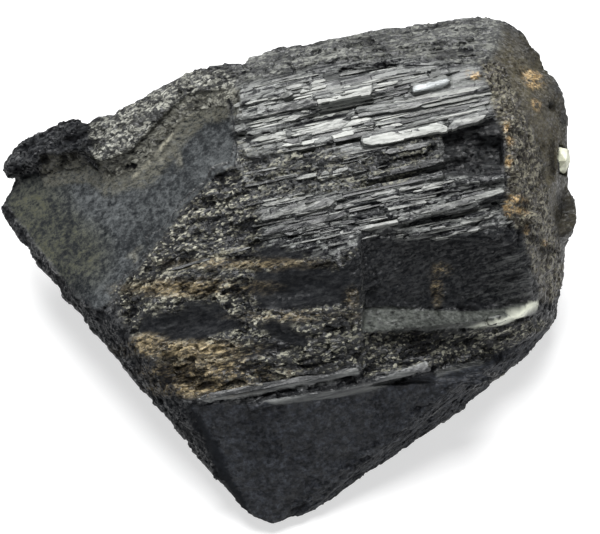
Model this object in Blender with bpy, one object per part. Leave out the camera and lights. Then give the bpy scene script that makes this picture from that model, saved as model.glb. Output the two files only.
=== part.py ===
"""A broken chunk of black tourmaline: one striated crystal that lies on a flat fracture.

The chunk is a block of a few large fracture faces. Its crown and flanks carry the crystal's long splinters
and furrows, all along the direction in which it grew. A grey fracture is chipped out of the left end, a ledge
is broken into the front, and a small pale feldspar grain sits in a pocket of the right-hand end.

Lengths are in millimetres and angles in degrees until a mesh is made. +X is the chunk's length, +Z is up, and
the origin is in the middle of its box, on the surface that it lies on.
"""

import math
import random

import bmesh
import bpy
from mathutils import Matrix, Vector
from mathutils.bvhtree import BVHTree

MM = 0.001

# The direction in which the crystal grew, and so the direction of every splinter and furrow.
GROWTH_YAW = 11.5
GROWTH_TILT = 5.0
GROWTH_AXIS_POINT = Vector((1, 0, 10))

# Corners of the block. All of its large faces lie between these.
LEFT_END = [
    (-30.8, 12.7, 12), (-30.3, 15.2, 13), (-28.2, 15.7, 15), (-22.9, 15.3, 18), (-30.9, 10, 9),
    (-24.5, 0.8, 9), (-14.9, -11.2, 7.5), (-20.3, -4.2, 13.2), (-12.9, -13.4, 12.5),
]
BACK_EDGE = [
    (-9.9, 18.3, 23), (-3.5, 18.9, 24), (4.9, 20.9, 25), (16.6, 21.5, 25.7), (20.9, 23.1, 26),
    (23.2, 22.5, 25.9), (25.4, 22, 25), (27.3, 18.6, 24), (29.3, 15.3, 22.6), (30, 12.9, 20.5),
]
RIGHT_END = [
    (30.1, 9.7, 16.5), (30.1, 5.1, 10.5), (30, 2.5, 6.5), (22.7, 7.4, 26.3), (23.4, 1.5, 22.3),
    (25.2, -1.6, 17.5),
]
CREST = [(-5.3, 12, 24.2), (1.8, 11.8, 26.5), (12, 13.3, 27.6), (20.4, 13.4, 27.8)]
FRONT_FLANK = [
    (-12.2, -8, 16.5), (6.6, -6.6, 22.6), (21.6, -3.4, 20.4), (-9.3, -16.5, 11), (4.7, -15.7, 12.8),
    (19.7, -12.8, 12), (27.4, -3.6, 7.5),
]
LOWER_RIM = [
    (29.6, 0.5, 3.2), (27.6, -2.1, 2.2), (25.2, -4.2, 1.6), (18.8, -10.3, 1.3), (2, -23.4, 1.3),
    (-1, -24.6, 1.5), (-3.6, -24, 2.5), (-4.4, -22.8, 4),
]
BACK_FLANK = [(24, 22.5, 10), (-12, 22.5, 12), (6, 24.5, 17), (-24, 17, 9), (29.5, 12, 9)]
RESTING_FACE = [
    (-1.5, -22.5, 0), (3.5, -21.8, 0), (24, -3, 0), (28, 4, 0), (20, 21, 0), (-12, 19, 0),
    (-17, 8, 0), (-9, -12, 0),
]
BLOCK_CORNERS = LEFT_END + BACK_EDGE + RIGHT_END + CREST + FRONT_FLANK + LOWER_RIM + BACK_FLANK + RESTING_FACE

# The grey fracture: its plane through three points, and the outline of the chip that is gone above it.
FRACTURE_POINTS = [(-30.6, 12.2, 10.3), (-5.3, 13.1, 22.6), (-17.7, -5.7, 12.8)]
FRACTURE_OUTLINE = [
    (-33, 14.2), (-25.3, 13.1), (-20.5, 12.3), (-18.8, 9.8), (-15.6, 9.6), (-13.5, 11), (-11.1, 13.3),
    (-9, 14.6), (-5.2, 13.8), (-4.6, 9.6), (-4.7, 5.6), (-6.9, 4.6), (-10, 2.6), (-12, -0.2),
    (-13.7, -2.6), (-15.8, -3.8), (-17.2, -7), (-24, -10), (-36, 8),
]

# The ledge broken into the front: the top of its wall, the back of its floor, the floor's lip, and the foot
# of the slope below the lip.
LEDGE_WALL_TOP = [(7.8, -4.1, 23.3), (11.6, -5, 22.4), (15.6, -4.7, 21.5), (19.6, -4.1, 20.7), (24.3, -2.5, 18)]
LEDGE_FLOOR_BACK = [(7.9, -8.8, 15.8), (14, -8.4, 15.4), (21.5, -7.8, 13.9), (24.1, -5.8, 12.5), (26.2, -4, 11)]
LEDGE_LIP = [(7.7, -10.9, 15.2), (15.8, -10.4, 15), (21.9, -8.8, 13.2), (25.9, -5.2, 10.6)]
LEDGE_FOOT = [(7.5, -14.6, 13.2), (11.6, -13.9, 12.9), (19.7, -12.9, 11.8), (25.6, -6.2, 7.4)]

# Dips broken out of the block's upper back edge: where they cross it in Y, and their outline in X and Z.
EDGE_DIPS = [
    (16, [(-23.4, 17.5), (-21.1, 16.9), (-19.7, 18), (-17.9, 18.1), (-17.6, 19), (-15.4, 20.7),
          (-12.4, 23.1), (-9.5, 25.6), (-11.7, 30), (-21, 26)]),
    (18.5, [(-9.6, 23.1), (-8.2, 22.9), (-6.1, 22.9), (-4.3, 23), (-3.9, 23.3), (-3.7, 24.4), (-2, 25),
            (-4.5, 28), (-9, 28)]),
]
EDGE_DIP_RUN = Vector((0, 22, -26.4))

# Splinters that stand out of the faces: girth at their start and end, going round the growth axis from
# the crown towards -Y, then where they start and end along it, their width and their height.
SPLINTERS = [
    (-41, -36, -2.1, 3.4, 0.9, 0.5), (-38, -31, -2.3, 7.2, 1.2, 0.7), (-31.5, -30, 6, 11.5, 1.1, 0.8),
    (-32, -24, -1.5, 8.7, 1, 0.5), (-25, -20, 2.4, 10.6, 1, 0.5), (-25, -23, 9.8, 15.9, 1, 0.6),
    (-23, -24, 15.8, 23, 0.9, 0.6), (-28, -29, 15.8, 19.2, 1.3, 0.8), (-14, -15, 9.6, 17.9, 1.5, 0.7),
    (-14, -16, 18.3, 22, 1.7, 0.9), (-8, -8, 11.1, 15.8, 1, 0.5), (2, 8, -2.7, 4.8, 2, 0.6),
    (12, 16, -2.6, 5.7, 1, 0.5), (22.5, 19, 10.9, 18.3, 1.1, 0.7), (19, 16, 16.7, 22.1, 1.1, 0.6),
    (30, 27, 11.3, 19.3, 0.8, 0.4), (1, 0, 9.1, 16.3, 1, 0.5), (7.5, 7.2, 4.6, 15.8, 1, 0.6),
    (-10, -8.6, 5.6, 12.7, 1, 0.5), (-25, -18, -2, 6.1, 1, 0.4), (-17, -10, -1.9, 5.6, 0.9, 0.4),
    (13, 10, 15.5, 21.9, 1.1, 0.6), (-48, -42, 5.4, 15.1, 1.3, 0.5), (-46.5, -45, 13.9, 23.3, 1.2, 0.4),
    (80, 78, -12, 3.8, 1.2, 0.5), (83.5, 82.5, -7.3, 10.7, 1.2, 0.6), (86, 87, 11.3, 16.2, 0.9, 0.5),
]

# Furrows and broken-out steps between them, given in the same way with their depth last.
FURROWS = [
    (-34, -26, -3.4, 8.3, 0.9, 0.7), (-27.7, -27.5, 5.9, 11.3, 1, 0.9), (-18, -16, 3, 9.1, 0.9, 0.6),
    (-39, -36, 9.2, 14.6, 1.4, 0.9), (81.5, 80.5, -7.6, 9, 0.7, 0.6), (24.5, 23, 8, 21, 1.2, 0.6),
    (4.5, 4, 8, 17, 0.9, 0.6), (-7, -5, 17.4, 20.4, 2.4, 0.9), (-2.5, -1, 19.4, 22.6, 3, 1.4),
    (3.5, 4.5, 17.2, 19.8, 1.8, 0.7), (-63, -62, -7, 14, 3, 0.8), (-76, -74, 0, 23, 3.6, 1.1),
    (-92, -90, -13, 11, 3.4, 0.9), (-104, -103, -4, 20, 2.6, 0.7),
]

# Bands that are covered in smaller splinters: range of girth, range along the growth axis, how many,
# longest length and greatest height.
SPLINTER_BANDS = [
    ((-52, -18), (-2, 23), 12, 7, 0.5),
    ((-18, 27), (-3, 22), 24, 8, 0.5),
    ((30, 62), (-14, 1), 3, 5, 0.4),
    ((-112, -57), (-14, 25), 22, 15, 0.8),
]

# The furthest that a small splinter turns from the growth direction.
MOST_ASTRAY = 16

# Rough ground: a line through each patch, how far its lumps stray, how many there are, and their size along
# the growth direction, across it and out of the surface.
ROUGH_GROUND = [
    ([(-29.5, 13.6, 13.3), (-24, 14.3, 17), (-19.9, 12.4, 18.3)], 1.2, 7, (2.2, 1.5, 1.1)),
    ([(-17, 12.5, 19), (-11, 15.5, 22), (-4, 15.5, 24.6)], 1.1, 6, (2, 1.3, 0.8)),
    ([(-2, 16.5, 25), (7, 18, 26), (20, 18.5, 27)], 1.6, 8, (2.6, 1.2, 0.8)),
    ([(20.6, 16.5, 27), (22.8, 10.3, 26.3), (24, 2.8, 22.4), (25.2, -0.2, 18.6), (28.4, 0.6, 10)],
     0.6, 11, (1.7, 1.8, 0.9)),
    ([(-5, 4, 22), (-9.4, 0.5, 19.7), (-13.5, -4, 16.8)], 1.8, 9, (1.9, 1.1, 0.8)),
    ([(-15, -6.5, 15.5), (-6.5, -7, 18.8), (2, -6.8, 21.5)], 0.8, 6, (2.4, 0.9, 0.7)),
    ([(-12, -13, 13), (-4, -14, 14), (4.5, -13.5, 15)], 1.2, 8, (2.2, 1, 0.7)),
    ([(-25, 1, 9.5), (-15, -10.5, 9), (-8, -17.5, 8), (-5, -21.5, 5)], 0.6, 8, (2, 1.4, 0.7)),
    ([(6.9, -6.8, 21.8), (6.9, -10, 18.5), (7, -12.5, 15.6)], 0.4, 4, (1.2, 1.2, 0.7)),
    ([(11, -14, 12.9), (21, -11.5, 11.5), (27, -4.5, 7)], 0.8, 6, (2, 1, 0.7)),
]

# Nothing that stands out of the faces comes lower than this, so that the chunk rests on its flat fracture.
LOWEST_FILLER = 0.4

# The knob that stands out of the right-hand end.
KNOB = [
    (31, 5.6, 13.8), (30.7, 4.7, 13), (29.8, 4, 12.5), (29.6, 8.4, 16), (30.7, 7.4, 14.6), (30.5, 7, 11.5),
    (29.9, 5, 9.5), (27, 4, 12), (27, 9, 15), (27, 7, 9),
]

# Smooth hollows left by flakes: middle, half length, half width and depth.
FLAKE_HOLLOWS = [
    ((1.7, -9.2, 19.6), 4.8, 1.9, 0.8), ((-9.2, -10.2, 15.8), 5.4, 1.8, 0.7),
    ((-0.3, -12.6, 15.9), 3.2, 1, 0.6), ((6, -20, 6), 3.6, 1.6, 0.3), ((15, -12.5, 6), 3.6, 1.5, 0.3),
    ((-19, 17, 5), 5, 3, 0.8), ((2, 23.5, 14), 7, 3, 0.9), ((29.5, 14, 8), 4, 3, 0.8),
    ((-20, 4, 4), 5, 2.5, 0.8), ((-11, -13, 4), 4.5, 2.2, 0.6), ((27.5, 6, 20), 2.5, 1.6, 0.5),
    ((29, 16, 17), 3.6, 2.4, 0.7), ((27, 17.5, 24.4), 3, 1.8, 0.5), ((-20, 15, 13), 4, 2.5, 0.8),
]

# Small chips out of the edges: middle and size.
EDGE_CHIPS = [
    ((-27.8, 5, 8.2), (2, 1.2, 1.2)), ((-19.5, -6.6, 7.6), (1.6, 1.6, 1)), ((-9.6, -18.2, 5), (1.5, 1.2, 1.5)),
    ((10.5, -18, 0.6), (2.6, 1, 1)), ((22.3, -8, 0.8), (1.6, 0.9, 0.9)), ((29.7, 1.4, 6), (0.9, 0.7, 1.6)),
    ((11, 21.6, 25.8), (4, 1.2, 0.7)), ((28.6, 17.4, 23.6), (0.8, 1, 1)), ((-26, 16.6, 13), (2.5, 1, 1.8)),
    ((24.5, 21.5, 2), (2.2, 1.5, 2)),
]

# Pits in the right-hand end: middle and radius.
PITS = [((27.9, 12.7, 22.8), 0.7), ((25, 0, 18.9), 0.6), ((26.3, 5, 20.4), 0.5), ((28.8, 2, 12), 0.6)]

# The feldspar grain, and the gap between it and its pocket.
GRAIN_CENTRE = (29.2, 9.5, 18.2)
GRAIN_SIZE = (1.1, 1.5, 1.7)
GRAIN_GAP = 0.33

SCHORL_COLOUR = (0.028, 0.029, 0.031, 1)
FELDSPAR_COLOUR = (0.75, 0.74, 0.58, 1)


def growth_frame():
    """Unit vectors along the growth direction, up across it, and sideways across it towards -Y."""
    yaw, tilt = math.radians(GROWTH_YAW), math.radians(GROWTH_TILT)
    along = Vector((math.cos(yaw) * math.cos(tilt), math.sin(yaw) * math.cos(tilt), math.sin(tilt)))
    upward = (Vector((0, 0, 1)) - along * along.z).normalized()
    return along, upward, along.cross(upward)


ALONG, UPWARD, SIDEWAYS = growth_frame()


def clear_scene():
    for leftover in list(bpy.data.objects):
        bpy.data.objects.remove(leftover, do_unlink=True)


def mineral(name, colour, roughness):
    material = bpy.data.materials.new(name)
    material.use_nodes = True
    shader = material.node_tree.nodes["Principled BSDF"]
    shader.inputs["Base Color"].default_value = colour
    shader.inputs["Roughness"].default_value = roughness
    shader.inputs["Metallic"].default_value = 0
    return material


def solid_from(bm, name):
    """An object from a closed bmesh whose lengths are millimetres, with its faces turned outwards."""
    bmesh.ops.recalc_face_normals(bm, faces=bm.faces)
    if bm.calc_volume(signed=True) < 0:
        bmesh.ops.reverse_faces(bm, faces=bm.faces)
    bmesh.ops.scale(bm, vec=(MM, MM, MM), verts=bm.verts)
    mesh = bpy.data.meshes.new(name)
    bm.to_mesh(mesh)
    bm.free()
    solid = bpy.data.objects.new(name, mesh)
    bpy.context.scene.collection.objects.link(solid)
    return solid


def hull_of(points, name):
    """The convex solid that wraps the points."""
    bm = bmesh.new()
    for point in points:
        bm.verts.new(point)
    bmesh.ops.convex_hull(bm, input=bm.verts)
    inside = [vertex for vertex in bm.verts if not vertex.link_faces]
    bmesh.ops.delete(bm, geom=inside, context="VERTS")
    return solid_from(bm, name)


def prism_of(outline, sweep, name):
    """The outline, a closed list of points, carried along the sweep."""
    bm = bmesh.new()
    face = bm.faces.new([bm.verts.new(point) for point in outline])
    swept = bmesh.ops.extrude_face_region(bm, geom=[face])
    moved = [item for item in swept["geom"] if isinstance(item, bmesh.types.BMVert)]
    bmesh.ops.translate(bm, vec=sweep, verts=moved)
    return solid_from(bm, name)


def as_helper(solid, collection):
    """Moves the solid to a collection of cutters or fillers, so that it is not a piece of its own."""
    bpy.context.scene.collection.objects.unlink(solid)
    collection.objects.link(solid)
    solid.hide_render = True
    solid.display_type = "WIRE"


def helper_collection(name):
    collection = bpy.data.collections.new(name)
    bpy.context.scene.collection.children.link(collection)
    return collection


def apply_boolean(solid, operation, collection):
    modifier = solid.modifiers.new(operation.lower(), "BOOLEAN")
    modifier.operation = operation
    modifier.operand_type = "COLLECTION"
    modifier.collection = collection


def surface_of(solid):
    """A search tree of the solid's faces as its modifiers leave them, in millimetres."""
    bpy.context.view_layer.update()
    evaluated = solid.evaluated_get(bpy.context.evaluated_depsgraph_get())
    mesh = evaluated.to_mesh()
    points = [vertex.co / MM for vertex in mesh.vertices]
    faces = [tuple(polygon.vertices) for polygon in mesh.polygons]
    evaluated.to_mesh_clear()
    return BVHTree.FromPolygons(points, faces)


def at_girth(surface, girth, station):
    """Where the surface lies at a girth and a distance along the growth axis, and which way it faces."""
    angle = math.radians(girth)
    outward = UPWARD * math.cos(angle) + SIDEWAYS * math.sin(angle)
    start = GROWTH_AXIS_POINT + ALONG * station + outward * 60
    point, normal, _, _ = surface.ray_cast(start, -outward)
    return point, normal


def splinter_section(width, height, chance):
    """Outline of a splinter, as offsets across and out of the surface: a sharp lip on its lower side."""
    half = width / 2
    lip = height * chance.uniform(0.85, 1.1)
    return [
        (-half * 1.1, -0.8), (half * 1.1, -0.8), (half * chance.uniform(0.9, 1.1), lip),
        (half * chance.uniform(0.1, 0.5), height), (-half * 0.6, height * chance.uniform(0.4, 0.8)),
        (-half, 0.05),
    ]


def furrow_section(width, depth, chance):
    """Outline of a furrow's cutter: narrow at the bottom, open at the top."""
    half = width / 2
    return [
        (-half * 0.6, -depth * chance.uniform(0.8, 1)), (half * 0.5, -depth), (half, -0.1), (half * 1.2, 1.5),
        (-half * 1.2, 1.5), (-half, 0),
    ]


def bar_between(start, end, facing, section, name, chance):
    """A bar with the given section from start to end, broken off askew at both ends."""
    run = (end - start).normalized()
    rise = (facing - run * facing.dot(run)).normalized()
    across = run.cross(rise)
    bm = bmesh.new()
    rings = []
    for middle, push in ((start, -1), (end, 1)):
        ring = []
        for u, v in section:
            skew = push * chance.uniform(0, 0.6)
            ring.append(bm.verts.new(middle + across * u + rise * v + run * skew))
        rings.append(ring)
    for corner in range(len(section)):
        after = (corner + 1) % len(section)
        bm.faces.new([rings[0][corner], rings[0][after], rings[1][after], rings[1][corner]])
    for ring in rings:
        bm.faces.new(ring)
    bmesh.ops.triangulate(bm, faces=bm.faces)
    return solid_from(bm, name)


def place_bar(surface, place, make_section, name, chance):
    """A splinter or the cutter of a furrow, laid on the surface where its place says."""
    girth_a, girth_b, from_along, to_along, width, reach = place
    start, normal_a = at_girth(surface, girth_a, from_along)
    end, normal_b = at_girth(surface, girth_b, to_along)
    return bar_between(start, end, normal_a + normal_b, make_section(width, reach, chance), name, chance)


def lump_of(centre, axes, size, chance, name, corners=11):
    """A broken lump: the convex solid round points spread evenly over an ellipsoid and pushed at random."""
    points = []
    for number in range(corners):
        height = 1 - (2 * number + 1) / corners
        ring = math.sqrt(1 - height * height)
        angle = number * 2.4 + chance.uniform(-0.3, 0.3)
        push = chance.uniform(0.8, 1.15)
        spot = (ring * math.cos(angle), ring * math.sin(angle), height)
        offset = sum((axis * reach * part for axis, reach, part in zip(axes, size, spot)), Vector())
        points.append(Vector(centre) + offset * push)
    return hull_of(points, name)


def surface_axes(normal):
    """Axes of something that lies on the surface: along the growth direction, across it and outwards."""
    across = ALONG.cross(normal).normalized()
    return normal.cross(across) * -1, across, normal


def grey_fracture_cutter():
    """The chip that left the grey fracture: its outline on the plane, carried straight out of the block."""
    first, second, third = [Vector(point) for point in FRACTURE_POINTS]
    facing = (second - first).cross(third - first).normalized()
    if facing.z < 0:
        facing.negate()
    outline = []
    for x, y in FRACTURE_OUTLINE:
        drop = ((x - first.x) * facing.x + (y - first.y) * facing.y) / facing.z
        outline.append(Vector((x, y, first.z - drop)))
    return prism_of(outline, facing * 7, "chip_of_grey_fracture")


def ledge_cutters():
    """The wedge above the ledge's floor, and the flake below its lip."""
    out = Vector((0, -7, 0.5))
    up = Vector((0, -7, 9))
    wall = [Vector(point) for point in LEDGE_WALL_TOP]
    back = [Vector(point) for point in LEDGE_FLOOR_BACK]
    lip = [Vector(point) for point in LEDGE_LIP]
    foot = [Vector(point) for point in LEDGE_FOOT]
    above = [point + up for point in wall]
    wedge = hull_of(wall + back + [point + out for point in back] + above, "wedge_above_ledge")
    beyond = [point + (point - edge) * 0.4 for point, edge in zip(foot, lip)]
    flake = hull_of(lip + beyond + [point + Vector((0, -5, 4)) for point in lip + beyond], "flake_below_ledge")
    return [wedge, flake]


def edge_dip_cutter(place, number):
    """A dip in the upper back edge, carried back and down through it."""
    y, outline = place
    start = [Vector((x, y, z)) - EDGE_DIP_RUN * 0.25 for x, z in outline]
    return prism_of(start, EDGE_DIP_RUN, f"dip_{number}")


def flake_hollow_cutter(surface, place, number):
    """The cutter of a shallow hollow: a flat ellipsoid laid along the growth direction, sunk by its depth."""
    centre, half_length, half_width, depth = place
    spot, normal, _, _ = surface.find_nearest(Vector(centre))
    thickness = half_width * 0.8
    centre = spot + normal * (thickness - depth)
    axes = surface_axes(normal)
    bm = bmesh.new()
    bmesh.ops.create_icosphere(bm, subdivisions=2, radius=1)
    shape = Matrix((axes[0] * half_length, axes[1] * half_width, axes[2] * thickness)).transposed()
    for vertex in bm.verts:
        vertex.co = centre + shape @ vertex.co
    return solid_from(bm, f"hollow_{number}")


def carve_block(crystal, block, chance):
    """Everything that is broken out of the block."""
    cutters = helper_collection("cutters")
    shapes = [grey_fracture_cutter(), *ledge_cutters()]
    shapes += [edge_dip_cutter(place, number) for number, place in enumerate(EDGE_DIPS)]
    shapes += [flake_hollow_cutter(block, place, number) for number, place in enumerate(FLAKE_HOLLOWS)]
    for number, place in enumerate(FURROWS):
        shapes.append(place_bar(block, place, furrow_section, f"furrow_{number}", chance))
    upright = (Vector((1, 0, 0)), Vector((0, 1, 0)), Vector((0, 0, 1)))
    for number, (centre, size) in enumerate(EDGE_CHIPS):
        shapes.append(lump_of(centre, upright, size, chance, f"chip_{number}"))
    for number, (centre, radius) in enumerate(PITS):
        spot, normal, _, _ = block.find_nearest(Vector(centre))
        mouth = spot + normal * radius * 0.2
        shapes.append(lump_of(mouth, surface_axes(normal), (radius,) * 3, chance, f"pit_{number}"))
    grown = [reach + GRAIN_GAP * 1.1 for reach in GRAIN_SIZE]
    shapes.append(feldspar(grown, "feldspar_pocket"))
    for shape in shapes:
        as_helper(shape, cutters)
    apply_boolean(crystal, "DIFFERENCE", cutters)


def lies_true(block, carved, place):
    """Whether a splinter would lie on unbroken ground, and nearly along the growth direction."""
    girth_a, girth_b, first, last = place[:4]
    spots = [(girth_a, first), ((girth_a + girth_b) / 2, (first + last) / 2), (girth_b, last)]
    intact = [at_girth(block, *spot)[0] for spot in spots]
    broken = [at_girth(carved, *spot)[0] for spot in spots]
    sunk = max((above - below).length for above, below in zip(intact, broken))
    return sunk < 0.15 and math.degrees((intact[2] - intact[0]).angle(ALONG)) < MOST_ASTRAY


def small_splinters(block, carved, chance):
    """Splinters at random in the bands, wherever one lies true."""
    shapes = []
    for girths, stations, count, longest, highest in SPLINTER_BANDS:
        for _ in range(count):
            girth = chance.uniform(*girths)
            length = chance.uniform(0.35, 1) * longest
            first = chance.uniform(stations[0], max(stations[0], stations[1] - length))
            turn = chance.uniform(-2, 2)
            width = chance.uniform(0.8, 1.6) * (1 + length / 12)
            height = highest * chance.uniform(0.5, 1)
            place = (girth, girth + turn, first, first + length, width, height)
            if lies_true(block, carved, place):
                name = f"small_splinter_{len(shapes)}"
                shapes.append(place_bar(block, place, splinter_section, name, chance))
    return shapes


def rough_lumps(carved, chance):
    """Half-sunk lumps scattered along the line of each patch of rough ground."""
    shapes = []
    for line, stray, count, size in ROUGH_GROUND:
        line = [Vector(point) for point in line]
        for number in range(count):
            step = (number + 0.5) / count * (len(line) - 1)
            leg = min(int(step), len(line) - 2)
            middle = line[leg].lerp(line[leg + 1], step - leg)
            astray = Vector([chance.uniform(-stray, stray) for _ in range(3)])
            spot, normal, _, _ = carved.find_nearest(middle + astray)
            reach = [side * chance.uniform(0.7, 1.2) for side in size]
            name = f"lump_{len(shapes)}"
            shapes.append(lump_of(spot - normal * reach[2] * 0.35, surface_axes(normal), reach, chance, name, 9))
    return shapes


def dress_block(crystal, block, carved, chance):
    """Everything that stands out of the block."""
    fillers = helper_collection("fillers")
    shapes = [hull_of(KNOB, "knob")]
    for number, place in enumerate(SPLINTERS):
        shapes.append(place_bar(block, place, splinter_section, f"splinter_{number}", chance))
    shapes += small_splinters(block, carved, chance)
    shapes += rough_lumps(carved, chance)
    for shape in shapes:
        if min(vertex.co.z for vertex in shape.data.vertices) > LOWEST_FILLER * MM:
            as_helper(shape, fillers)
        else:
            bpy.data.objects.remove(shape, do_unlink=True)
    apply_boolean(crystal, "UNION", fillers)


def islands_of(bm):
    """The vertices of each connected shell."""
    waiting = set(bm.verts)
    islands = []
    while waiting:
        reached = [waiting.pop()]
        for vertex in reached:
            for edge in vertex.link_edges:
                other = edge.other_vert(vertex)
                if other in waiting:
                    waiting.remove(other)
                    reached.append(other)
        islands.append(reached)
    return islands


def keep_outer_shell(solid):
    """Applies the solid's modifiers and keeps its outer shell alone, so that no void stays sealed inside."""
    bpy.context.view_layer.update()
    graph = bpy.context.evaluated_depsgraph_get()
    mesh = bpy.data.meshes.new_from_object(solid.evaluated_get(graph))
    solid.modifiers.clear()
    solid.data = mesh
    bm = bmesh.new()
    bm.from_mesh(mesh)
    inner = sorted(islands_of(bm), key=len)[:-1]
    bmesh.ops.delete(bm, geom=[vertex for island in inner for vertex in island], context="VERTS")
    bm.to_mesh(mesh)
    bm.free()


def remove_helpers():
    for helper in [thing for thing in bpy.data.objects if thing.hide_render]:
        bpy.data.objects.remove(helper, do_unlink=True)


def feldspar(size, name):
    """The grain's shape. Its pocket is the same shape, a little larger."""
    axes = (Vector((1, 0, 0)), Vector((0, 1, 0)), Vector((0, 0, 1)))
    return lump_of(GRAIN_CENTRE, axes, size, random.Random(5), name, 14)


def main():
    clear_scene()
    chance = random.Random(27)
    crystal = hull_of(BLOCK_CORNERS, "tourmaline_crystal")
    block = surface_of(crystal)
    carve_block(crystal, block, chance)
    dress_block(crystal, block, surface_of(crystal), chance)
    keep_outer_shell(crystal)
    remove_helpers()
    crystal.data.materials.append(mineral("schorl", SCHORL_COLOUR, 0.45))
    grain = feldspar(GRAIN_SIZE, "feldspar_grain")
    grain.data.materials.append(mineral("feldspar", FELDSPAR_COLOUR, 0.6))


main()
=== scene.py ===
# %% [markdown]
# # A chunk of black tourmaline
#
# The stone is one broken crystal of schorl, the black iron-rich tourmaline. It grew as a bundle of long
# rods, so it breaks along its length into straight, bright splinters, and across its length into dull
# rubble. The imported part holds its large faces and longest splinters. This lesson lays a skin of finer
# relief over them.

import bpy
import numpy as np
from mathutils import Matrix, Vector


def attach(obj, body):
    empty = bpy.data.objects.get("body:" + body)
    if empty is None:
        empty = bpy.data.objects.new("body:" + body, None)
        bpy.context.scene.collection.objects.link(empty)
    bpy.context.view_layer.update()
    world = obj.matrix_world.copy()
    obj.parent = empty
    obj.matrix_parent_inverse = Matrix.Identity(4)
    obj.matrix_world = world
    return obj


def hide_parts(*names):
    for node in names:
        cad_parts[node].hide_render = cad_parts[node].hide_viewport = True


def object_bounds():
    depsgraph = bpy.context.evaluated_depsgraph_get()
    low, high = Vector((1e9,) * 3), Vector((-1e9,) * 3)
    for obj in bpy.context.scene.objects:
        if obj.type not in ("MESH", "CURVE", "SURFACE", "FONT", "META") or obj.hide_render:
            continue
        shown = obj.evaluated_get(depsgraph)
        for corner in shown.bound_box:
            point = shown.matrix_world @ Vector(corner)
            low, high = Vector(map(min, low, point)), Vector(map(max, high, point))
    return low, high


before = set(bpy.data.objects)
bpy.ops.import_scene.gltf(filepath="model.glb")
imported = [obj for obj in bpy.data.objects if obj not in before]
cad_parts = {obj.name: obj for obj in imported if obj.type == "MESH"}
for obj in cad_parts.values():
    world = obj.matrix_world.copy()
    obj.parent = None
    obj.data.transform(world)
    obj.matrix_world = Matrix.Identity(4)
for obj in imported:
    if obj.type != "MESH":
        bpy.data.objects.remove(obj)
part_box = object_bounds()
MM = 0.001
print("part box in mm:", [[round(x / MM, 1) for x in corner] for corner in part_box])

# %% [markdown]
# ## The camera
#
# A small stone is looked at from well above, with a long lens that keeps its sides nearly parallel. The
# point it looks at, its height over the horizon and its distance place the camera. They also tell where any
# point of the stone lands in the picture, so that a patch of stain can be put where it is seen.

# %% Camera
PICTURE = (600, 534)
LENS = 110.0
SENSOR = 36.0
LOOKS_AT = np.array([1.75, 0.1, 12.0])
HEIGHT_OVER_HORIZON = np.radians(50.0)
DISTANCE = 191.0

towards_camera = np.array([0.0, -np.cos(HEIGHT_OVER_HORIZON), np.sin(HEIGHT_OVER_HORIZON)])
picture_up = np.array([0.0, np.sin(HEIGHT_OVER_HORIZON), np.cos(HEIGHT_OVER_HORIZON)])
eye = LOOKS_AT + DISTANCE * towards_camera

camera_data = bpy.data.cameras.new("camera")
camera_data.lens = LENS
camera_data.sensor_width = SENSOR
camera_data.clip_start = 0.01
camera = bpy.data.objects.new("camera", camera_data)
camera.location = Vector(eye * MM)
camera.rotation_euler = (np.pi / 2 - HEIGHT_OVER_HORIZON, 0, 0)
bpy.context.scene.collection.objects.link(camera)
bpy.context.scene.camera = camera


def in_picture(points):
    """Where points in millimetres land: pixels from the left, and pixels from the top."""
    offset = points - eye
    depth = -offset @ towards_camera
    scale = LENS / SENSOR * PICTURE[0] / depth
    return PICTURE[0] / 2 + scale * offset[:, 0], PICTURE[1] / 2 - scale * (offset @ picture_up)


print("camera at", [round(float(x), 1) for x in eye], "mm")

# %% [markdown]
# ## Floor and light
#
# Black stone shows its shape only through what it mirrors. Wide soft lights nearly overhead light up the
# faces that lie flat, while faces that lean to the viewer stay dark. A plain grey room keeps the shadows
# open. The floor is pale and glows a little, so that it stays even up to the edge of the picture.

# %% Floor and light
FLOOR_SIZE = 3.0
LIT_POINT = Vector((0, 0, 0.012))


def square_mesh(name, half):
    """A flat square: its four corners at plus and minus half in X and Y."""
    mesh = bpy.data.meshes.new(name)
    corners = [(-half, -half, 0), (half, -half, 0), (half, half, 0), (-half, half, 0)]
    mesh.from_pydata(corners, [], [(0, 1, 2, 3)])
    return mesh


def soft_light(name, place, size, power):
    """A square area light at a place in metres, turned to face the stone."""
    data = bpy.data.lights.new(name, "AREA")
    data.shape = "RECTANGLE"
    data.size, data.size_y = size
    data.energy = power
    light = bpy.data.objects.new(name, data)
    light.location = place
    light.rotation_euler = (Vector(place) - LIT_POINT).to_track_quat("Z", "Y").to_euler()
    bpy.context.scene.collection.objects.link(light)


floor = bpy.data.objects.new("floor", square_mesh("floor", FLOOR_SIZE / 2))
bpy.context.scene.collection.objects.link(floor)

soft_light("overhead", (-0.03, 0.10, 0.56), (0.30, 0.24), 3.4)
soft_light("back_strip", (-0.10, 0.34, 0.46), (0.34, 0.14), 1.9)

room = bpy.data.worlds.new("room")
room.use_nodes = True
room.node_tree.nodes["Background"].inputs["Color"].default_value = (0.93, 0.96, 1.0, 1)
room.node_tree.nodes["Background"].inputs["Strength"].default_value = 0.2
bpy.context.scene.world = room
bpy.context.scene.view_settings.view_transform = "Standard"

# %% [markdown]
# ## Writing materials as sums
#
# A material is a graph of nodes, which is slow to click together and slower to read back. So a small class
# wraps one socket and lets Python's own signs add the Math nodes: `1 - rough * 0.5` makes a Multiply and a
# Subtract. Any other node comes from one method, which takes its type, its settings and its inputs.

# %% Node helper


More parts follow.
